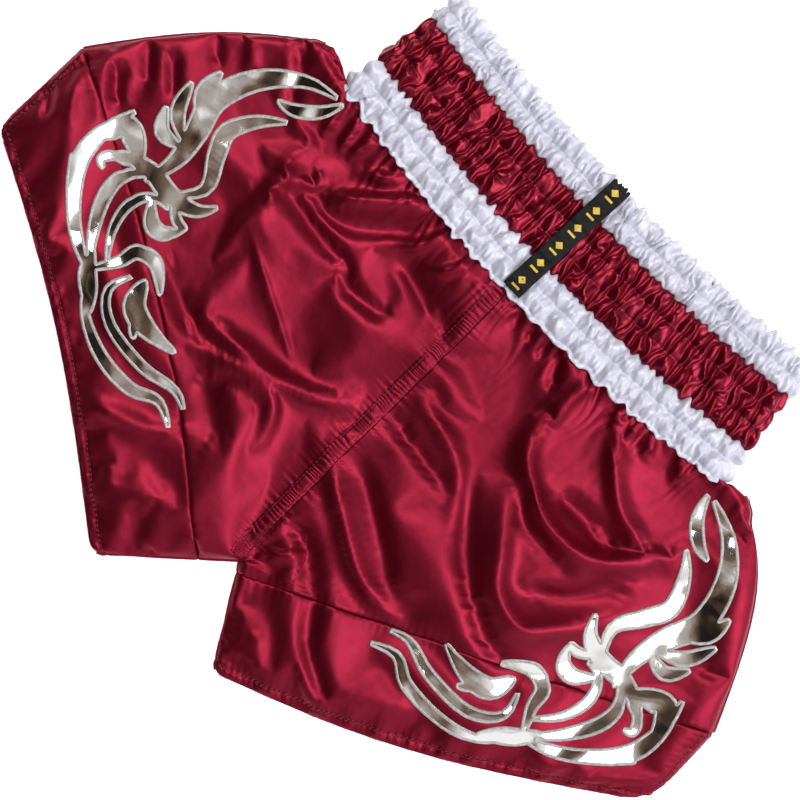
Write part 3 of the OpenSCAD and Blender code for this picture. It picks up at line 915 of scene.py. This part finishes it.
# %% Middle seam of the front
t = np.linspace(0, 1, 15)[None, :]
y = np.linspace(97.5, -139.5, 640)[:, None]
x = -10.2 + 10.4 * t + y * 0
wander = 0.9 * waves(y, y * 0, 20, 71)
ladder = np.abs(np.sin(np.pi * (y / 3.1 + wander) + 0.5 * waves(x, y, 12, 72)))
lift = 0.25 + 0.75 * (1 - np.abs(2 * t - 1) ** 5) + 0.55 * ladder * np.sin(np.pi * t) ** 0.5
lift = lift - 0.55 * (bell(t - 0.16, 0.05) + bell(t - 0.84, 0.05))
plan = np.dstack([x, y + 0 * x])
points, _ = on_cloth(RIGHT, np.minimum(plan, [-0.02, 999]).reshape(-1, 2), lift.ravel(), 3)
strip = points.reshape(plan.shape[0], -1, 3)
piece("centre_seam_front", strip, grid_faces(*strip.shape[:2], flip=not facing_up(strip)),
      crimson, ("centre_seam_front",), plan)
rows = []
for inset in (-8.6, -1.7):
    path = np.stack([np.full(500, inset), np.linspace(96, -136, 500)], 1)
    rows.append(stitch_row(*on_cloth(RIGHT, path, 1.0, 3), length=2.2, gap=0.8, wide=0.3))
stitching("centre_seam_stitching", rows, crimson_thread)

# %% Middle seam of the back
y = np.linspace(97, -141, 300)[:, None]
x = np.linspace(-5, 5, 9)[None, :] + y * 0
base = np.interp(-y, -back[RIGHT][:PANEL_ROWS * 2, 0, 1], back[RIGHT][:PANEL_ROWS * 2, 0, 2])
low = base - 0.12 - 0.1 * np.cos(np.pi * (x / 5)) + 0.08 * np.sin(2 * np.pi * y / 3.6)
strip = np.dstack([x, y + 0 * x, np.maximum(low, 0.05)])
piece("centre_seam_back", strip, grid_faces(300, 9, flip=facing_up(strip)), crimson,
      ("centre_seam_back",), strip[..., :2])

# %% [markdown]
# ## Gusset
# A small patch beside the crotch gives the legs room. It is drawn as rings that shrink to its
# middle, and it sinks into a shallow seam all round.

# %% Gusset
loop = outlines("crotch_gusset")[0] - AT
loop = even(np.concatenate([loop, loop[:1]]), 120)[:-1]
middle = loop.mean(0)
t = np.linspace(0.02, 1, 26)[:, None]
spots = middle + (loop - middle) * t[..., None]
ring = np.arange(len(loop))[None]
lift = 0.35 - 0.32 * t**8 - 0.45 * bell(t - 0.9, 0.035)
lift = lift + 0.12 * np.sin(ring * 1.4) * bell(t - 0.85, 0.1)
points, _ = on_cloth(LEFT, spots.reshape(-1, 2), lift.ravel())
patch = points.reshape(26, -1, 3)
quads = grid_faces(26, patch.shape[1], wrap=True)
a, b, c = (points[quads[:, k]] for k in (0, 1, 3))
quads = quads if np.cross(b - a, c - a)[:, 2].sum() > 0 else quads[:, ::-1]
cap = list(range(len(loop)))
turn = np.cross(patch[0, 1] - patch[0, 0], patch[0, 40] - patch[0, 0])[2] > 0
quads = quads.tolist() + [cap if turn else cap[::-1]]
gusset = piece("crotch_gusset", patch, quads, crimson, ("crotch_gusset",), spots)

# %% [markdown]
# ## Foil motif
# Mirror film cut to a flame, laid on the satin. A fine lattice of squares fills the outline; its
# stepped edge hides under the border. The film is stiffer than satin, so it follows a softened
# copy of the cloth, with a slight swell of its own.

# %% Foil


def lattice(loops, cell):
    """Squares of one size whose middle or any corner lies inside the loops."""
    low = np.min([l.min(0) for l in loops], 0) - cell * 2
    high = np.max([l.max(0) for l in loops], 0) + cell * 2
    nx, ny = np.ceil((high - low) / cell).astype(int)
    gx, gy = np.meshgrid(np.arange(nx + 1), np.arange(ny + 1), indexing="ij")
    points = low + np.stack([gx, gy], -1).reshape(-1, 2) * cell
    hit = inside(points, loops).reshape(nx + 1, ny + 1)
    keep = (hit[:-1, :-1] | hit[1:, :-1] | hit[1:, 1:] | hit[:-1, 1:]).ravel()
    quads = grid_faces(nx + 1, ny + 1, flip=False)[keep]
    used, new = np.unique(quads, return_inverse=True)
    return points[used], new.reshape(-1, 4)


for side, word in SIDES.items():
    spots, quads = lattice(flame[side], 1.0)
    swell = 0.55 + 0.12 * waves(spots[:, 0], spots[:, 1], 14, 81 + side)
    points, _ = on_cloth(side, spots, swell, 3)
    a, b, c = (points[quads[:, k]] for k in (0, 1, 3))
    up = np.cross(b - a, c - a)[:, 2].mean() > 0
    piece("foil_" + word, points, quads if up else quads[:, ::-1], foil,
          ("foil_" + word,), spots)

# %% [markdown]
# ## Satin-stitched border
# Silver thread is wound side by side over the edge of the foil. A low rounded profile is carried
# along each outline, 1 mm outside the foil, and the thread stripes follow the length of it.

# %% Border


def rounded_loop(loop, step=0.9):
    """A closed loop with even steps, its corners eased by one pass of averaging."""
    closed = np.concatenate([loop, loop[:1]])
    length = np.linalg.norm(np.diff(closed, axis=0), axis=1).sum()
    p = even(closed, max(int(length / step), 8))[:-1]
    return (np.roll(p, 1, 0) + 2 * p + np.roll(p, -1, 0)) / 4


def border(side, loop, hole):
    """Profile across the edge: nine points, 2.2 mm wide and 0.9 mm high, its rims in the cloth."""
    p = rounded_loop(loop)
    t = np.roll(p, -1, 0) - np.roll(p, 1, 0)
    size = np.maximum(np.linalg.norm(t, axis=1, keepdims=True), 1e-6)
    n = np.stack([t[:, 1], -t[:, 0]], 1) / size
    area = (p[:, 0] * np.roll(p[:, 1], -1) - p[:, 1] * np.roll(p[:, 0], -1)).sum()
    n = n * (1 if (area > 0) != hole else -1)
    across = np.linspace(-0.4, 1.8, 9)
    high = 0.15 + 0.85 * np.sqrt(np.clip(1 - ((across - 0.7) / 1.12) ** 2, 0, 1))
    flat_points = (p[None] + n[None] * across[:, None, None])
    points, _ = on_cloth(side, flat_points.reshape(-1, 2), np.repeat(high, len(p)), 3)
    along = run(np.concatenate([p, p[:1]])[None], 1)[0, :-1]
    uv = np.stack(np.broadcast_arrays(along[None], across[:, None]), -1)
    return points.reshape(9, -1, 3), uv


for side, word in SIDES.items():
    points, faces, uvs, count = [], [], [], 0
    for loop in flame[side]:
        others = [l for l in flame[side] if l is not loop]
        grid, uv = border(side, loop, bool(inside(loop[:1], others)[0]))
        quads = grid_faces(*grid.shape[:2], wrap=True)
        a, b, c = (grid.reshape(-1, 3)[quads[:, k]] for k in (0, 1, 3))
        up = np.cross(b - a, c - a)[:, 2].sum() > 0
        faces.append((quads if up else quads[:, ::-1]) + count)
        points.append(grid.reshape(-1, 3))
        uvs.append(uv.reshape(-1, 2))
        count += grid.shape[0] * grid.shape[1]
    piece("foil_border_" + word, np.concatenate(points), np.concatenate(faces), silver_thread,
          ("foil_border_" + word,), np.concatenate(uvs))

# %% [markdown]
# ## The gathered waistband
# Seven elastic strips draw up the three casings. Each strip has its own tunnel: the satin bulges
# over the strip, is pinched at the rows of thread, and is drawn into ridges that run up the band
# and kink at each row. The band is a flattened ring, so the pattern has to close round it.

# %% The ring and its edges
# Half the width, height of the middle, and half the thickness of the flattened ring, in mm
BAND_HALF, BAND_Z, BAND_THICK = 169.0, 7.6, 6.6
FIRST_SEAM, SECOND_SEAM, BAND_TOP = 25.8, 68.5, 92.0  # mm up the band, where casings end
ROW_LINES = np.array([0, 12.9, FIRST_SEAM, 40.0, 54.3, SECOND_SEAM, 80.3, BAND_TOP])
RING = 4 * (BAND_HALF - BAND_THICK) + 2 * np.pi * BAND_THICK

band_edges = []
for name, ends in (("waist_casing_lower", [(-162, 115), (176, 105), (173, 130), (-158, 140)]),
                   ("waist_casing_upper", [(-154, 179), (170, 166), (168, 188), (-152, 204)])):
    low, _, high, _ = stretches(outlines(name)[0] - AT, np.array(ends, float))
    band_edges += [even(low, 60), even(high[::-1], 60)]
LINES = dict(zip((0, FIRST_SEAM, SECOND_SEAM, BAND_TOP), band_edges))
print("ring", round(RING), "mm round, rows at", ROW_LINES.tolist())


def band_point(u, w):
    """Flat point u across (0 right end, 1 left end) and w mm up the band, between its seams."""
    ws = np.array(list(LINES))
    lines = np.stack(list(LINES.values()))
    at = np.linspace(0, 1, lines.shape[1])
    rows = np.stack([np.stack([np.interp(u, at, line[:, k]) for k in (0, 1)], -1)
                     for line in lines])
    k = np.clip(np.searchsorted(ws, w, side="right") - 1, 0, 2)
    f = ((w - ws[k]) / (ws[k + 1] - ws[k]))[..., None]
    low = np.take_along_axis(rows, k[None, ..., None], 0)[0]
    high = np.take_along_axis(rows, k[None, ..., None] + 1, 0)[0]
    return low * (1 - f) + high * f


def band_along(u, w):
    """Unit direction along the band at u and w, from two places a little way apart."""
    along = band_point(np.clip(u + 0.01, 0, 1), w) - band_point(np.clip(u - 0.01, 0, 1), w)
    return along / np.linalg.norm(along, axis=-1, keepdims=True)


def ring_section(s):
    """Flat stretch, half round, flat stretch, half round: place and outward direction at s."""
    flat_run, bend = 2 * (BAND_HALF - BAND_THICK), np.pi * BAND_THICK
    a = np.clip((s - flat_run) / BAND_THICK, 0, np.pi)
    b = np.clip((s - 2 * flat_run - bend) / BAND_THICK, 0, np.pi)
    turn = a + b
    x = -(BAND_HALF - BAND_THICK) + np.clip(s, 0, flat_run)
    x = x - np.clip(s - flat_run - bend, 0, flat_run)
    return x + BAND_THICK * np.sin(turn), BAND_THICK * np.cos(turn), np.sin(turn), np.cos(turn)


def ring_waves(s, w, size, tall, seed, n=40):
    """Waves that close round the ring: whole numbers of cycles along s, any along w."""
    r = np.random.default_rng(seed)
    cycles = np.maximum(np.round(RING / (size * r.uniform(0.6, 1.8, n))), 1)
    climb = 2 * np.pi / tall * r.uniform(-1, 1, n)
    phase = r.uniform(0, 2 * np.pi, n)
    total = sum(np.sin(2 * np.pi * c * s / RING + k * w + p)
                for c, k, p in zip(cycles, climb, phase))
    return total / math.sqrt(n)


def gathers(s, w, pitch, sharp, seed):
    """Ridges up the band. Their phase is set at every row line, each with its own shifts, and
    runs straight between, so a ridge goes on through a row line but kinks there. An odd count
    of cycles gives two ridges in each."""
    cycles = round(RING / pitch)
    lines = np.arange(len(ROW_LINES))
    k = np.clip(np.searchsorted(ROW_LINES, w, side="right") - 1, 0, 6)
    f = np.clip((w - ROW_LINES[k]) / (ROW_LINES[k + 1] - ROW_LINES[k]), -0.3, 1.3)
    shift = np.stack([1.7 * ring_waves(s, 0 * s, pitch * 3, 1, seed + int(n)) for n in lines])
    low = np.take_along_axis(shift, k[None], 0)[0]
    high = np.take_along_axis(shift, k[None] + 1, 0)[0]
    phase = 2 * np.pi * cycles * s / RING + low * (1 - f) + high * f
    phase = phase + 0.5 * ring_waves(s, w, 14, 16, seed + 20)
    in_each = 1 + cycles % 2
    return np.abs(np.cos(phase * in_each / 2)) ** sharp


def swell_of(w, tight=0.62):
    """Bulge of each tunnel: a rounded arch between two row lines, 0 at the lines."""
    k = np.clip(np.searchsorted(ROW_LINES, w, side="right") - 1, 0, 6)
    f = np.clip((w - ROW_LINES[k]) / (ROW_LINES[k + 1] - ROW_LINES[k]), 0, 1)
    return np.sin(np.pi * f) ** tight

# %% [markdown]
# ## Three casings
# White, maroon and white satin. The white cloth is softer and stands in rounded puffs; the maroon
# is drawn into narrow sharp ridges. The lower edge is a small frill, the upper edge rolls over.


def casing(name, w_low, w_high, step, pitch, sharp, bulge, ridge, fine, through, cloth,
           seed):
    """Ring surface: base section pushed out by the tunnel's arch times puff plus ridges. A share
    through of each ridge is left at the rows of thread."""
    n = int(RING / step)
    s = (np.arange(n) * RING / n)[None, :]
    m = int((w_high - w_low) / step)
    w = np.linspace(w_low, w_high, m)[:, None]
    s, w = np.broadcast_arrays(s, w)
    lean = 1.6 * ring_waves(s, w, 16, 16, seed + 50)
    r = gathers(s + lean, w, pitch, sharp, seed)
    arch = swell_of(w)
    patch = 0.85 + 0.35 * ring_waves(s, w, 18, 18, seed + 60)
    out = arch * (bulge + ridge * r * patch) + (1 - arch) * (through * ridge * r - 0.5)
    out = out + fine * ring_waves(s, w, 4.5, 7, seed + 70)
    x, z = ring_section(s)[:2]
    out = out * (1 - 0.5 * bell(x + 5, 9) * (z > 0))
    w_here = w + 0.8 * ring_waves(s, w, 11, 10, seed + 80) * arch
    for line in (FIRST_SEAM, SECOND_SEAM):
        w_here = w_here + bell(w - line, 4) * 1.3 * ring_waves(s, 0 * s, 8, 1, int(line))
    if w_low < 0:
        frill = ease(-w / 3 + 0.2)
        out = out + frill * (1.4 * r + 0.4)
        wobble = 1.5 * ring_waves(s, 0 * s, 12, 1, seed + 90) - 0.6 * r
        w_here = w_here + ease(1 - w / 6) * wobble
        out = np.concatenate([out[:1] - 2.6, out])
        w_here = np.concatenate([w_here[:1] + 1.5, w_here])
    if w_high > 90:
        wobble = 1.7 * ring_waves(s, 0 * s, 9, 1, seed + 91) + 0.8 * r
        w_here = w_here + ease((w - 84) / 8) * wobble
        roll = [(out[-1:] * f - d, w_here[-1:] + e)
                for f, d, e in ((0.85, 0.3, 0.7), (0.6, 1.0, 1.2), (0.4, 2.0, 1.0), (0.2, 3.2, 0),
                                (0.1, 4.0, -2.5))]
        out = np.concatenate([out] + [o for o, _ in roll])
        w_here = np.concatenate([w_here] + [v for _, v in roll])
    ring_s = np.broadcast_to(s[:1], out.shape)
    x, z, nx, nz = ring_section(ring_s)
    u = 0.5 + x / (2 * BAND_HALF)
    flat_spot = band_point(np.clip(u, 0, 1), w_here)
    outward = band_along(u, w_here) * (nx * out)[..., None]
    grid = np.dstack([flat_spot + outward, BAND_Z + z + nz * out])
    low = 0.25
    squash = low + 0.7 * np.logaddexp(0, (grid[..., 2] - low) / 0.7)
    grid[..., 2] = np.where(grid[..., 2] < 5, squash, grid[..., 2])
    plan = np.dstack([ring_s * 1.5, w_here])
    obj = piece(name, grid, grid_faces(*out.shape, wrap=True, flip=True), cloth, (name,),
                plan, 0.3)


casing("waist_casing_lower", -3.0, FIRST_SEAM, step=0.85, pitch=12.0, sharp=0.9, bulge=1.2,
       ridge=4.2, fine=0.55, through=0.16, cloth=white, seed=100)
casing("waist_casing_middle", FIRST_SEAM, SECOND_SEAM, step=0.78, pitch=6.8, sharp=1.6, bulge=0.6,
       ridge=3.8, fine=0.08, through=0.62, cloth=crimson_band, seed=200)
casing("waist_casing_upper", SECOND_SEAM, BAND_TOP, step=0.85, pitch=11.0, sharp=0.9, bulge=1.2,
       ridge=4.0, fine=0.55, through=0.16, cloth=white, seed=300)

# %% [markdown]
# ## Inside the band
# A plain lining covers the elastic, and the rows of thread show in the valleys of the casings.

# %% A line round the ring


def ring_line(w, out, n=1200):
    """A closed line round the ring at height w, pushed out by out, with its outward normals."""
    s = np.linspace(0, RING, n)
    x, z, nx, nz = ring_section(s)
    u = 0.5 + x / (2 * BAND_HALF)
    spot = band_point(u, np.full(n, w))
    along = band_along(u, np.full(n, w))
    normal = np.concatenate([along * nx[:, None], nz[:, None]], 1)
    points = np.concatenate([spot, BAND_Z + z[:, None]], 1) + normal * out
    points[:, 2] = np.maximum(points[:, 2], 0.3)
    return points, normal

# %% Lining and six rows of thread
lines = []
for w in np.linspace(1.5, 90, 30):
    ripple = 0.25 * np.sin(2 * np.pi * 130 * np.linspace(0, 1, 700) + 0.05 * w)
    points, normal = ring_line(w, 0, 700)
    lines.append((points + normal * (ripple[:, None] - 4.2))[:-1])
lining = np.stack(lines)
piece("waist_lining", lining, grid_faces(*lining.shape[:2], wrap=True), lining_cloth,
      ("waist_lining",), wall=0.3)
rows = [stitch_row(*ring_line(w, -0.8), length=2.6, gap=1.4, wide=0.3) for w in ROW_LINES[1:7]]
stitching("row_stitching", rows, white_thread)

# %% [markdown]
# ## Label
# A woven black ribbon stands across the band, held by a row of thread at each end, so it dips
# over each valley. Its figures are generic lozenges and bars, raised like embroidery. The cut top
# end frays.

# %% Ribbon
corners = outlines("label")[0] - AT
corners = corners[np.argsort(corners[:, 1])]
low_edge, high_edge = (c[np.argsort(c[:, 0])] for c in (corners[:2], corners[2:]))


def label_height(y):
    """Top of the ridges, with a dip at each row line of the band."""
    w = y - 98.0
    dip = sum(bell(w - line, 2.2) for line in ROW_LINES[1:7])
    return 19.6 - 0.9 * dip - 1.6 * bell(w + 1, 4) + 0.35 * np.sin(w / 4.1)


def on_label(a, b):
    """Flat place on the label: a across it and b up it, by a blend of its four corners."""
    low, high = (edge[0] * (1 - a) + edge[1] * a for edge in (low_edge, high_edge))
    return low * (1 - b) + high * b


spots = on_label(np.linspace(0, 1, 22)[None, :, None], np.linspace(0, 1, 130)[:, None, None])
fray = waves(np.arange(22) * 3.0, np.zeros(22), 4, 401) * 1.3
spots[-1, :, 1] += fray
spots[-2, :, 1] += fray * 0.5
crown = 0.25 * (1 - np.abs(2 * np.linspace(0, 1, 22) - 1) ** 8)
lift = label_height(spots[..., 1]) + crown + 0.08 * waves(spots[..., 0], spots[..., 1], 5, 402)
ribbon = np.dstack([spots, lift])
label = piece("label", ribbon, grid_faces(130, 22, flip=not facing_up(ribbon)), black_ribbon,
              ("label",), wall=0.5)

# %% Figures
points, faces = [], []
for loop in outlines("label_figures"):
    k, n = sum(len(p) for p in points), len(loop)
    p = loop - AT
    top = label_height(p[:, 1]) + 0.55
    mid = p.mean(0)
    points.append(np.concatenate([np.c_[p, top - 0.6], np.c_[p, top - 0.08],
                                  np.c_[mid + (p - mid) * 0.9, top]]))
    i = np.arange(n)
    after = (i + 1) % n
    faces += [f for r in (k, k + n)
              for f in np.stack([r + i, r + after, r + n + after, r + n + i], 1).tolist()]
    faces.append((k + 2 * n + i).tolist())
turned = (p[:, 0] * np.roll(p[:, 1], -1) - p[:, 1] * np.roll(p[:, 0], -1)).sum() < 0
faces = [f[::-1] for f in faces] if turned else faces
figures = piece("label_figures", np.concatenate(points), faces, gold_thread,
                ("label_figures",))
figures.data.polygons.foreach_set("use_smooth", np.zeros(len(figures.data.polygons), bool))

# %% Thread at both ends of the label
rows = []
for v in (0.02, 0.96):
    p = on_label(np.linspace(0.06, 0.94, 60)[:, None], v)
    p = np.c_[p, label_height(p[:, 1]) + 0.35]
    rows.append(stitch_row(p, np.tile([0, 0, 1.0], (60, 1)), length=1.6, gap=0.5, wide=0.25))
stitching("label_stitching", rows, black_thread)

# %% [markdown]
# ## What stays of the solid model
# The elastic strips are the right shape already. They stay inside the casings and get a finish.

# %% Elastic keeps its solid
strips = 0
for name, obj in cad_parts.items():
    if name.startswith("elastic_"):
        strips += 1
        for place in obj.material_slots:
            place.material = elastic_web
print("elastic strips", strips)

# %% [markdown]
# ## Floor, light and room
# A plain white floor, a large soft light from the wearer's left and a smaller one over the hems'
# far side. The room is bright on one side, dim on the other and patchy, because satin and mirror
# film show what they face: the hollows go dark and the film picks up soft shapes.

# %% Stage
floor_z = -0.0004
mesh = bpy.data.meshes.new("floor")
mesh.from_pydata([(-6, -6, floor_z), (6, -6, floor_z), (6, 6, floor_z), (-6, 6, floor_z)], [],
                 [(0, 1, 2, 3)])
floor = bpy.data.objects.new("floor", mesh)
bpy.context.scene.collection.objects.link(floor)
paper, nodes, links, shader = finish("white_paper", (0.95, 0.95, 0.95), 0.9)
shader.inputs["Emission Color"].default_value = (1, 1, 1, 1)
shader.inputs["Emission Strength"].default_value = 0.75
mesh.materials.append(paper)

# %% Two soft lights
def softbox(name, spot, size, power, tone=(1, 1, 1)):
    """A rectangular light at spot (m), turned to face the middle of the shorts."""
    lamp = bpy.data.lights.new(name, "AREA")
    lamp.shape = "RECTANGLE"
    lamp.size, lamp.size_y = size
    lamp.energy = power
    lamp.color = tone
    obj = bpy.data.objects.new(name, lamp)
    bpy.context.scene.collection.objects.link(obj)
    obj.location = spot
    obj.rotation_euler = (-obj.location).to_track_quat("-Z", "Y").to_euler()
    print(name, power, "W")


softbox("window_light", (0.95, 0.35, 1.4), (0.9, 1.2), 15.5)
softbox("top_light", (-0.80, 0.80, 1.45), (0.6, 0.8), 15, (1, 0.97, 0.94))

# %% The room round it
world = bpy.data.worlds.new("room")
bpy.context.scene.world = world
world.use_nodes = True
nodes, links = world.node_tree.nodes, world.node_tree.links
around = nodes.new("ShaderNodeTexCoord").outputs["Generated"]
split = nodes.new("ShaderNodeSeparateXYZ")
links.new(around, split.inputs["Vector"])
patches = nodes.new("ShaderNodeTexNoise")
patches.inputs["Scale"].default_value = 3.4
patches.inputs["Detail"].default_value = 2.0
links.new(around, patches.inputs["Vector"])
mix = nodes.new("ShaderNodeMath")
mix.operation = "MULTIPLY_ADD"
mix.inputs[1].default_value = 0.55
links.new(patches.outputs["Fac"], mix.inputs[0])
slope = nodes.new("ShaderNodeMapRange")
slope.inputs["From Min"].default_value = -0.45
slope.inputs["From Max"].default_value = 0.55
slope.inputs["To Min"].default_value = -0.16
slope.inputs["To Max"].default_value = 0.62
links.new(split.outputs["X"], slope.inputs["Value"])
links.new(slope.outputs["Result"], mix.inputs[2])
ramp = nodes.new("ShaderNodeValToRGB")
ramp.color_ramp.elements[0].position = 0.22
ramp.color_ramp.elements[0].color = (0.012, 0.009, 0.008, 1)
ramp.color_ramp.elements[1].position = 0.80
ramp.color_ramp.elements[1].color = (0.95, 0.95, 0.96, 1)
for place, tone in ((0.42, (0.16, 0.10, 0.07, 1)), (0.58, (0.42, 0.38, 0.36, 1))):
    ramp.color_ramp.elements.new(place).color = tone
links.new(mix.outputs["Value"], ramp.inputs["Fac"])
links.new(ramp.outputs["Color"], nodes["Background"].inputs["Color"])
nodes["Background"].inputs["Strength"].default_value = 1.0
bpy.context.scene.view_settings.view_transform = "Standard"

# %% [markdown]
# ## Camera
# It looks straight down, turned by an eighth of a circle, through a long lens, so the flat shorts
# keep their proportions.

# %% Camera
CAMERA_HEIGHT = 1.6            # m
VIEW_WIDTH = 0.496             # m of the shorts that fit across the view
LENS_REACH = 1.588             # m, from the camera to the top of the shorts
SENSOR = 36                    # mm
camera = bpy.data.objects.new("camera", bpy.data.cameras.new("camera"))
bpy.context.scene.collection.objects.link(camera)
camera.location = (AT[0] * MM, AT[1] * MM, CAMERA_HEIGHT)
camera.rotation_euler = (0, 0, math.radians(45))
camera.data.sensor_width = SENSOR
camera.data.lens = SENSOR * LENS_REACH / VIEW_WIDTH
bpy.context.scene.camera = camera
print("lens", round(camera.data.lens, 1), "mm")
